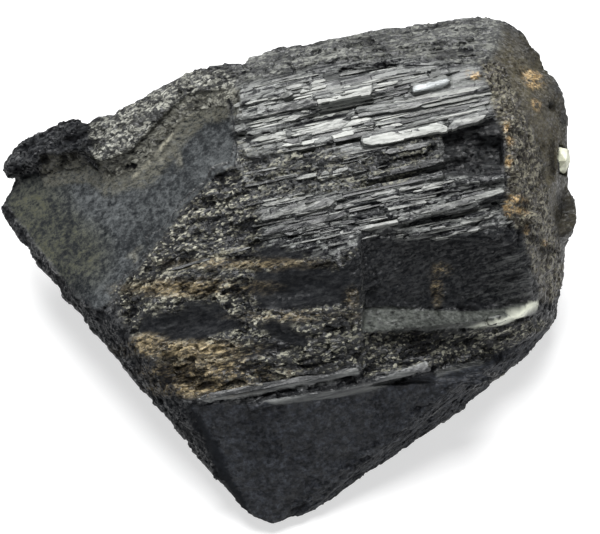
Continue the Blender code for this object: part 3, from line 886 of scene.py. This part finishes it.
thin = schorl_skin.modifiers.new("thin", "DECIMATE")
thin.ratio = min(1.0, MOST_TRIANGLES / (2 * len(skin_quads)))
thinned = bpy.data.meshes.new_from_object(schorl_skin.evaluated_get(bpy.context.evaluated_depsgraph_get()))
schorl_skin.modifiers.clear()
schorl_skin.data = thinned
print("faces after thinning:", len(thinned.polygons), "of", 2 * len(skin_quads))

# %% Clip the thinned points, and shade the calm faces smooth
thin_points = read_list(thinned.vertices, "co", 3, np.float32).reshape(-1, 3)
thin_points = np.clip(thin_points, lowest * MM, highest * MM)
thinned.vertices.foreach_set("co", thin_points.astype(np.float32).ravel())
thinned.update()

calm = read_list(thinned.attributes["calm"].data, "value", 1, np.float32)
corners = read_list(thinned.loops, "vertex_index", 1, np.int32)
starts = read_list(thinned.polygons, "loop_start", 1, np.int32)
calm_faces = np.minimum.reduceat(calm[corners], starts) > 0.5
thinned.polygons.foreach_set("use_smooth", calm_faces)
print("smooth faces:", int(calm_faces.sum()), "of", len(calm_faces))

# %% [markdown]
# ## The finish of schorl
#
# Schorl is black and glassy on fresh faces, duller where it is rough, with pale dust and rusty clay in the
# rubble. The base colour goes from one to the next through the masks, broken up by noise that is drawn out
# along the growth direction. Some layers are painted light and shade: a grey sheen on the splinters, a white
# glint, a lit shelf and lip, and shade in hollows, cracks and pits. The bump adds what is too fine for the
# mesh: striations on the splinters and a sugary grain on the rubble. Small cells whose faces lean at random
# make single glints.

# %% Material helpers
GROWTH_TURN = (0.0, float(-GROWTH_TILT), float(GROWTH_YAW))
CELLS_PER_METRE = 4600.0


def turned(place, stretch):
    """Object coordinates turned to the crystal's own, and drawn out along the growth direction."""
    values = {"Vector": place, "Rotation": GROWTH_TURN, "Scale": (stretch, 1.0, 1.0)}
    return place.node("ShaderNodeMapping", {"vector_type": "TEXTURE"}, values)


def noise(place, scale, stretch, detail, roughness):
    """Soft noise, drawn out along the growth direction, with a scale in waves per metre."""
    values = {"Vector": turned(place, stretch), "Scale": scale, "Detail": detail, "Roughness": roughness}
    return place.node("ShaderNodeTexNoise", {}, values)


def cells(place, stretch):
    """A random colour for each small cell."""
    values = {"Vector": turned(place, stretch), "Scale": CELLS_PER_METRE}
    return place.node("ShaderNodeTexVoronoi", {}, values, output="Color")


def lean(colours, amount):
    """How far each cell's own face leans: its random colour, centred on nothing, times an amount."""
    centred = colours.vector("SUBTRACT", colours, (0.5, 0.5, 0.5))
    return colours.node("ShaderNodeVectorMath", {"operation": "SCALE"}, {"Vector": centred, "Scale": amount})


def bump(height, strength, distance, **under):
    """The normal that a height gives, at most a distance deep, on top of another normal if one is given."""
    values = {"Strength": strength, "Distance": distance, "Height": height, **under}
    return height.node("ShaderNodeBump", {}, values)


def tilted(normal, *leans):
    """A normal with some leans added to it, one long again."""
    for one_lean in leans:
        normal = normal.vector("ADD", normal, one_lean)
    return normal.vector("NORMALIZE", normal, (0.0, 0.0, 0.0))


def mask(place, name):
    """A mask that travels with the piece."""
    return place.node("ShaderNodeAttribute", {"attribute_name": name}, output="Fac")


# %% Noises and masks of the schorl
schorl, schorl_shader, stone = new_finish("schorl")
speckle = noise(stone, 3400.0, 2.6, 5.0, 0.8)
drift = noise(stone, 800.0, 4.0, 3.0, 0.6)
streak = noise(stone, 2600.0, 14.0, 4.0, 0.65)
cloud = noise(stone, 160.0, 1.3, 5.0, 0.6)
mottle = noise(stone, 1500.0, 1.0, 6.0, 0.8)
crumb_cells = cells(stone, 1.5)
sliver_cells = cells(stone, 12.0)
crumb = stone.node("ShaderNodeSeparateColor", {}, {"Color": crumb_cells})
sliver = stone.node("ShaderNodeSeparateColor", {}, {"Color": sliver_cells})
on = {name: mask(stone, name) for name in masks}


def weighted(shares):
    """The sum of some masks, each times its share."""
    return sum(on[name] * share for name, share in shares.items())


print("masks in the schorl material:", len(on))

# %% Colours of schorl, its dust and its stains, and of painted sheen, glint, light and shade
BLACK = tone(8, 9, 11)
SHADE = tone(3, 3, 4)
FADED = tone(52, 54, 56)
PAINTED_SHEEN = tone(190, 197, 188)
SLATE = tone(56, 62, 76)
GREY = tone(4, 6, 8)
GREY_LIGHT = tone(105, 115, 118)
OLIVE = tone(46, 45, 6)
DUST = tone(100, 95, 74)
PALE = tone(470, 460, 370)
LIP_DUST_AND_PAINTED_LIGHT = tone(150, 145, 115)
CHALK = tone(260, 265, 240)
CHALK_LIGHT = tone(400, 400, 350)
OCHRE_DEEP = tone(46, 34, 16)
OCHRE = tone(540, 430, 250)
RUST_DEEP = tone(160, 90, 30)
RUST = tone(700, 500, 250)
BROWN = tone(28, 23, 16)
UMBER = tone(130, 115, 70)
RIND = tone(250, 235, 180)
PAINTED_HIGHLIGHT_CREAM = tone(840, 860, 720)
SHELF_DARK = tone(6, 7, 6)
SHELF_PAINTED_LIGHT = tone(130, 140, 125)
PALE_LINE = tone(420, 400, 310)
PAINTED_GLINT_WHITE = tone(720, 760, 760)

ground = (speckle * 0.4 + streak * 0.22 + crumb * 0.22 + drift * 0.35 - 0.09).band(0.46, 0.67)
dust = ground.tint(BLACK, ground.band(0.3, 1.0).tint(DUST, PALE))
patches = (mottle * 0.7 + cloud * 0.35 + speckle * 0.25).band(0.56, 0.84)
fibres = streak * 0.6 + sliver * 0.4
skin_brown = (speckle * 0.5 + mottle * 0.5).band(0.35, 0.7).tint(BROWN, UMBER)
wall_grey = (streak * 0.4 + speckle * 0.6).band(0.42, 0.70).tint(BLACK, FADED)
ochre = (speckle * 0.7 + drift * 0.35).band(0.46, 0.68).tint(OCHRE_DEEP, OCHRE)
# Painted light: the shelf faces up and catches the light, so its base colour is raised to a pale grey.
painted_shelf_light = (mottle * 0.6 + speckle * 0.5).band(0.42, 0.66).tint(SHELF_DARK, SHELF_PAINTED_LIGHT)
print("schorl nodes so far:", len(schorl.node_tree.nodes))

# %% Paint the zones: where each layer shows, and its colour
layers = [
    # Painted sheen: light grey streaks in the base colour stand for the reflections of the splinters, also
    # on the split sides the camera doesn't see.
    ((on["splinter"] + on["unseen"] * 0.6).clipped() * fibres.band(0.45, 0.70), PAINTED_SHEEN),
    (on["unseen"] * drift.band(0.45, 0.75) * 0.6, dust),
    (on["right_skin"] * cloud.band(0.3, 0.65), skin_brown),
    (on["grey"], patches.tint(GREY, GREY_LIGHT)),
    (on["grey"] * on["olive"] * patches, OLIVE),
    (on["rough_ground"] * 0.95, dust),
    (on["crest"], (ground * 0.6 + drift * 0.4).band(0.05, 0.9).tint(BLACK, CHALK)),
    (on["pale"], ground.band(-0.15, 0.85).tint(BLACK, CHALK_LIGHT)),
    # Pale dust and painted light on the lip above the grey fracture, which lifts the shade that its step
    # would cast.
    (on["lip"] * speckle.band(0.35, 0.6) * 0.7, LIP_DUST_AND_PAINTED_LIGHT),
    (on["rind"], ground.band(0.0, 0.7).tint(BROWN, RIND)),
    # Painted sheen on the slat rows.
    (on["slats"] * (streak * 0.5 + sliver * 0.5).band(0.35, 0.62), PAINTED_SHEEN),
    ((on["wall"] + on["pods"]).clipped(), wall_grey),
    ((on["dark_face"] + on["chamfer"]).clipped(), mottle.band(0.42, 0.75).tint(BLACK, SLATE)),
    # Painted light: streaks of sheen where the right part of the wall catches the light. The streaks are
    # also raised in the relief.
    (on["wall_streaks"] * (streak * 0.6 + speckle * 0.4).band(0.47, 0.66) * 0.45, PAINTED_SHEEN),
    ((on["stain"] * (cloud * 0.5 + speckle * 0.6).band(0.44, 0.62)).clipped(), ochre),
    ((on["rust"] * mottle.band(0.42, 0.56)).clipped(), speckle.band(0.38, 0.62).tint(RUST_DEEP, RUST)),
    (on["rim"] * mottle.band(0.3, 0.6), BLACK),
    # Painted light on the shelf.
    (on["shelf"], painted_shelf_light),
    # Painted highlight: a cream line along the lower edge of the shelf's end.
    (on["shelf_end"] * mottle.band(0.25, 0.45), PAINTED_HIGHLIGHT_CREAM),
    # Painted sheen on the long strips below the wall, from faded grey to sheen.
    (on["strips"] * 0.62, streak.band(0.35, 0.65).tint(FADED, PAINTED_SHEEN)),
    (on["recess"] * 0.85, crumb.band(0.5, 0.8).tint(SHADE, FADED)),
    # Pale lines and ring marks. The line on the lip of the grey fracture is partly a painted highlight.
    ((on["pale_lines"] + on["ring_marks"]) * mottle.band(0.35, 0.6), PALE_LINE),
    # Painted highlight: the facet's glint, white in the base colour.
    (on["painted_glint_facet"] * mottle.band(0.2, 0.5), PAINTED_GLINT_WHITE),
    # Painted shade: hollows, cracks, pits and the shadow lines under overhangs darken towards shade.
    ((on["hollow"] * 0.8 + on["crack_and_shadow_lines"] * speckle.band(0.35, 0.6) * 0.8).clipped(), SHADE),
]
colour = fibres.band(0.42, 0.75).tint(BLACK, FADED)
for where, paint in layers:
    colour = where.tint(colour, paint)
print("layers of colour:", len(layers))

# %% Lustre, and relief too fine for the mesh
SMOOTH_ZONES = {"grey": 0.75, "dark_face": 0.55, "wall": 0.2, "pods": 0.7, "shelf": 0.8, "strips": 1.0}
ROUGHER_ZONES = {"grey": 0.25, "dark_face": 0.15, "slats": -0.06}
SCHORL_IOR = 1.62
SCHORL_BUMP = 0.00008

smooth = weighted(SMOOTH_ZONES).clipped()
rough = 0.34 + weighted(ROUGHER_ZONES) + speckle * 0.15
pitting = mottle * (1 - smooth * 0.55)
fine_bump = bump(pitting + speckle * (1 - smooth), 0.6, SCHORL_BUMP)
streak_bump = bump(streak * (1 - smooth), 0.6, SCHORL_BUMP, Normal=fine_bump)
crumb_lean = lean(crumb_cells, (1 - smooth * 0.8) * (1 - on["slats"]) * 0.8)
schorl_normal = tilted(streak_bump, crumb_lean, lean(sliver_cells, (1 - smooth) * 0.3))

stone.feed(schorl_shader.inputs["Base Color"], colour)
stone.feed(schorl_shader.inputs["Roughness"], rough.clipped())
stone.feed(schorl_shader.inputs["Normal"], schorl_normal)
schorl_shader.inputs["IOR"].default_value = SCHORL_IOR
print("schorl nodes with lustre:", len(schorl.node_tree.nodes))

# %% [markdown]
# ## Dull hollows
#
# A pit or a crack mirrors nothing, because its own walls stand in the way. A glossy shader alone would lay
# the pale room over it like a veil, so a second, dull shader is mixed in by the masks to keep the blacks
# deep.

# %% Dull schorl in the hollows
DULL_ZONES = {
    "hollow": 0.8, "rim": 0.65, "dark_face": 0.4, "wall": 0.4, "pods": 0.6, "crack_and_shadow_lines": 1.0, "chamfer": 0.1,
    "recess": 0.3, "lump": 0.3, "lip": 0.3,
}
DULL_SHADER = {"Base Color": colour, "Normal": schorl_normal, "Roughness": 0.8, "Specular IOR Level": 0.1}

dull = weighted(DULL_ZONES) + on["grey"] * (0.6 - patches * 0.6)
dull = dull + (1 - smooth) * crumb.band(0.35, 0.65) * (0.65 - on["slats"] * 0.5)
glossy_schorl = Socket(schorl.node_tree, schorl_shader.outputs["BSDF"])
dull_schorl = stone.node("ShaderNodeBsdfPrincipled", {}, DULL_SHADER)
both = stone.node("ShaderNodeMixShader", {}, {0: dull.clipped(), 1: glossy_schorl, 2: dull_schorl})
stone.feed(schorl.node_tree.nodes["Material Output"].inputs["Surface"], both)
schorl_skin.data.materials.append(schorl)

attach(schorl_skin, "root")
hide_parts("tourmaline_crystal")
print("schorl nodes:", len(schorl.node_tree.nodes))

# %% [markdown]
# ## Clean splinters
#
# The brightest splinters are flat, clean slats that catch the light, with broken ends. A slat is a profile
# of six corners carried along a path, like a roof shingle: high at one side and sloping to the other. Its
# width and height step a little where it chipped. Thin slats between the large ones are drawn at random,
# and those that lie in the wrong zone or stand clear of the skin are left out. All slats are one piece.

# %% Large slats: both ends and the width in pixels of the camera's picture, and the lean to the light
SLATS = [
    (234, 106, 292, 94, 5, 0.5), (236, 119, 318, 101, 8, 0.6), (238, 129, 300, 117, 6, 0.5),
    (317, 100, 372, 90, 8, 0.9), (252, 141, 350, 122, 6, 0.6), (286, 143, 372, 127, 5, 0.5),
    (358, 114, 422, 104, 6, 0.7), (420, 107, 490, 93, 5, 0.6), (364, 143, 446, 126, 9, 0.7),
    (449, 126, 486, 115, 8, 0.8), (370, 98, 408, 91, 4, 0.6), (430, 99, 488, 87, 4, 0.5),
    (385, 153, 430, 144, 5, 0.4), (255, 217, 334, 201, 11, 0.4), (262, 234, 345, 215, 5, 0.3),
    (398, 219, 472, 200, 5, 0.5), (455, 204, 505, 190, 5, 0.6), (406, 237, 484, 217, 4, 0.4),
    (368, 178, 440, 161, 5, 0.3), (168, 271, 250, 247, 3, 0.5), (200, 398, 358, 369, 5, 0.3),
    (266, 402, 428, 364, 5, 0.4), (434, 373, 484, 361, 4, 0.5),
]
print("named slats:", len(SLATS))

# %% Places on the skin
NEAR = 2.5
OUT_OF_REACH = 1e3

skin_x, skin_y = in_picture(skin)
skin_normals = normals_of(skin, skin_quads)
in_view = (np.einsum("ij,ij->i", skin_normals, unit(eye - skin)) > 0.1) & in_front


def on_skin(x, y):
    """The mean place and direction of the skin's points that the camera sees near a place in its picture."""
    away = np.hypot(skin_x - x, skin_y - y) + np.where(in_view, 0, OUT_OF_REACH)
    chosen = away < max(NEAR, float(away.min()) + 0.5)
    return skin[chosen].mean(axis=0), unit(soft_normals[chosen].mean(axis=0))


print("points in view:", int(in_view.sum()))

# %% One slat
SLAT_STATIONS = 40
SLAT_PROFILE = np.array([(-0.50, -1.0), (-0.50, 0.9), (-0.42, 1.0), (0.30, 0.55), (0.55, 0.15), (0.6, -1.0)])
SLAT_SUNK = 0.5
SLAT_LIFT = 0.05
SLAT_CHIPS = 7
BOWED_FROM = 90
LIGHT_AT = np.array([-30.0, 150.0, 540.0])
PIXEL = DISTANCE / (LENS / SENSOR * PICTURE[0])


def slat(number, start_x, start_y, end_x, end_y, wide, lean_to_light):
    """Points of one slat, station by station: the profile, times its width and height, on its path.

    The path is the line that lies best along the skin between the two ends, bowed if it is long. Width and
    height change at each chip, and both shrink at the broken ends, which are cut at a slant.
    """
    steps = np.linspace(0, 1, 7)
    found = [on_skin(start_x + t * (end_x - start_x), start_y + t * (end_y - start_y)) for t in steps]
    touched = np.array([point for point, _ in found])
    up = unit(np.mean([normal for _, normal in found], axis=0))
    bowed = end_x - start_x > BOWED_FROM
    bend, reach, start = np.polyfit(steps, touched, 2) if bowed else (0, *np.polyfit(steps, touched, 1))
    axis = unit(bend + reach)
    glint = unit(unit(eye - touched.mean(axis=0)) + unit(LIGHT_AT - touched.mean(axis=0)))
    up = unit(max(0, 1 - lean_to_light) * up + lean_to_light * glint)
    up = unit(up - axis * (up @ axis))
    side = np.cross(up, axis)
    run = np.linspace(0, 1, SLAT_STATIONS)
    own = dice(number + 300, np.arange(4))
    chip = np.floor(run * SLAT_CHIPS + own[0] * 5)
    broken = np.minimum(1, np.minimum(run, 1 - run) / (0.02 + 0.10 * own[1]) + 0.15)
    own_width = wide * PIXEL * (0.85 + 0.3 * dice(number + 100, chip)) * broken
    own_height = (0.04 + 0.04 * own[2] + 0.02 * dice(number + 200, chip)) * broken
    path = start + run[:, None] * reach + run[:, None] ** 2 * bend + up * SLAT_LIFT
    sideways = side + axis * (own[3] - 0.5) * 3
    over = SLAT_PROFILE[:, 0][None, :, None] * own_width[:, None, None] * sideways
    rise = np.where(SLAT_PROFILE[:, 1] > 0, SLAT_PROFILE[:, 1] * own_height[:, None], -SLAT_SUNK)
    return path[:, None, :] + over + rise[..., None] * up


print("one pixel is", round(PIXEL, 3), "mm on the stone")

# %% Thin slats between the large ones
THIN_SLATS = 340
SELDOM = 4


def thin_slat(number):
    """A slat of random length, width and lean, at a random place on the top front of the crystal."""
    roll = dice(4000 + number, np.arange(6))
    middle_x = 240 + 255 * roll[0]
    middle_y = 70 + 175 * roll[1]
    half = 10 + 34 * roll[2] ** 2
    rise = 0.19 + 0.05 * roll[3]
    wide = 1.3 + 2.8 * roll[4] ** 2
    ends = (middle_x - half, middle_y + rise * half, middle_x + half, middle_y - rise * half)
    return (*ends, wide, 0.2 + 0.75 * roll[5])


def share_inside(name, row, margin=3.0):
    """The share of a slat's length that lies inside a zone's outline by more than a margin in pixels."""
    outline = OUTLINES[name][2][0]
    x = np.linspace(row[0], row[2], 9)
    y = np.linspace(row[1], row[3], 9)
    return float(np.mean(inside_distance(outline, x, y) > margin))


def belongs(number, row):
    """Whether a thin slat has a place: on the splinters, off the recess, and seldom on the broken middle."""
    clear = share_inside("recess", row, 0) == 0 and share_inside("painted_glint_facet", row, -4) == 0
    sound = share_inside("slats", row) > 0.5 or share_inside("middle", row) == 0
    return share_inside("splinter", row) == 1 and clear and (sound or number % SELDOM == 0)


drawn = [thin_slat(k) for k in range(THIN_SLATS)]
slat_rows = SLATS + [row for k, row in enumerate(drawn) if belongs(k, row)]
print("slats that belong:", len(slat_rows), "of", len(SLATS) + THIN_SLATS)

# %% Leave out slats that stand clear of the skin
LOOSE = 0.45


def gap_to_skin(shape):
    """The largest distance from a slat's two ends and middle to the nearest point of the skin."""
    tops = shape[[0, SLAT_STATIONS // 2, -1], 2]
    return max(float(np.linalg.norm(skin - top, axis=1).min()) for top in tops)


shapes = [slat(k, *row) for k, row in enumerate(slat_rows)]
firm = [k for k, shape in enumerate(shapes) if gap_to_skin(shape) < LOOSE]
slat_rows = [slat_rows[k] for k in firm]
slat_points = np.clip(np.concatenate([shapes[k].reshape(-1, 3) for k in firm]), lowest, highest)
print("slats that lie on the skin:", len(slat_rows))

# %% Join the slats in one mesh
SLAT_SIDES = len(SLAT_PROFILE)


def tube_quads():
    """Quads of one closed slat: from station to station round the profile, and two on each of its ends."""
    station, turn = np.meshgrid(np.arange(SLAT_STATIONS - 1), np.arange(SLAT_SIDES), indexing="ij")
    corners = [station * SLAT_SIDES + (turn + 1) % SLAT_SIDES, station * SLAT_SIDES + turn]
    corners += [corners[1] + SLAT_SIDES, corners[0] + SLAT_SIDES]
    first = np.array([[0, 1, 2, 5], [2, 3, 4, 5]])
    last = (SLAT_STATIONS - 1) * SLAT_SIDES + first[:, ::-1]
    return np.concatenate([np.stack(corners, axis=-1).reshape(-1, 4), first, last])


points_in_slat = SLAT_STATIONS * SLAT_SIDES
one_slat = tube_quads()
slat_quads = np.concatenate([one_slat + k * points_in_slat for k in range(len(slat_rows))])
clean_slats = mesh_object("clean_slats", slat_points, slat_quads)
clean_slats.data.polygons.foreach_set("use_smooth", np.zeros(len(slat_quads), bool))

# Painted reflection: each slat's sheen level, higher the more it leans to the light and in the top rows.
painted_sheen_level = 0.6 * dice(900, np.arange(len(slat_rows))) + 0.6 * np.array([row[5] for row in slat_rows]) ** 2
painted_sheen_level *= [1.1 if share_inside("slats", row) > 0.5 else 0.7 for row in slat_rows]
keep_mask(clean_slats, "painted_sheen_level", np.repeat(painted_sheen_level, points_in_slat))
print("slats:", len(slat_rows), "with", len(slat_quads), "quads")

# %% [markdown]
# ## The finish of the slats
#
# A clean slat is striped along its length with lines finer than a hair, and each one mirrors another part
# of the room. So every slat gets a painted reflection of its own in its base colour, from nearly black to
# silver grey, broken up by lines.

# %% Slat finish
SLAT_DARK = tone(12, 13, 14)
SLAT_PAINTED_SHEEN = tone(440, 450, 420)
SLAT_BUMP = 0.00007

slat_finish, slat_shader, splinter = new_finish("clean_schorl")
scratches = noise(splinter, 2600.0, 16.0, 4.0, 0.7)
blotch = noise(splinter, 900.0, 4.0, 4.0, 0.7)
flecks = noise(splinter, 4200.0, 3.0, 4.0, 0.8)
# Painted sheen of the slats, from black to silver grey.
painted_slat_sheen = scratches * 0.4 + flecks * 0.35 + blotch * 0.3 + mask(splinter, "painted_sheen_level") * 0.28 - 0.13
slat_normal = tilted(bump(scratches + flecks * 0.7, 0.8, SLAT_BUMP), lean(cells(splinter, 5.0), 0.35))
splinter.feed(slat_shader.inputs["Base Color"], painted_slat_sheen.band(0.42, 0.72).tint(SLAT_DARK, SLAT_PAINTED_SHEEN))
splinter.feed(slat_shader.inputs["Roughness"], 0.30 + blotch * 0.25)
splinter.feed(slat_shader.inputs["Normal"], slat_normal)
slat_shader.inputs["IOR"].default_value = SCHORL_IOR
clean_slats.data.materials.append(slat_finish)
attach(clean_slats, "root")
print("slat nodes:", len(slat_finish.node_tree.nodes))

# %% [markdown]
# ## The feldspar grain
#
# A pale grain is caught in a pocket of the right-hand end. Its solid already has the right facets, so it
# stays, and only gets a finish: cream, slightly waxy, clouded inside.

# %% Feldspar
FELDSPAR_PALE = tone(800, 820, 620)
FELDSPAR_CLOUDED = tone(550, 550, 420)

feldspar, feldspar_shader, cream = new_finish("feldspar")
clouding = cream.node("ShaderNodeTexNoise", {}, {"Vector": cream, "Scale": 1500.0, "Detail": 4.0})
feldspar_colour = clouding.band(0.35, 0.65).tint(FELDSPAR_PALE, FELDSPAR_CLOUDED)
cream.feed(feldspar_shader.inputs["Base Color"], feldspar_colour)
cream.feed(feldspar_shader.inputs["Roughness"], 0.35 + clouding * 0.2)
grain_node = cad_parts["feldspar_grain"]
grain_node.data.materials.clear()
grain_node.data.materials.append(feldspar)
print("feldspar grain finished")
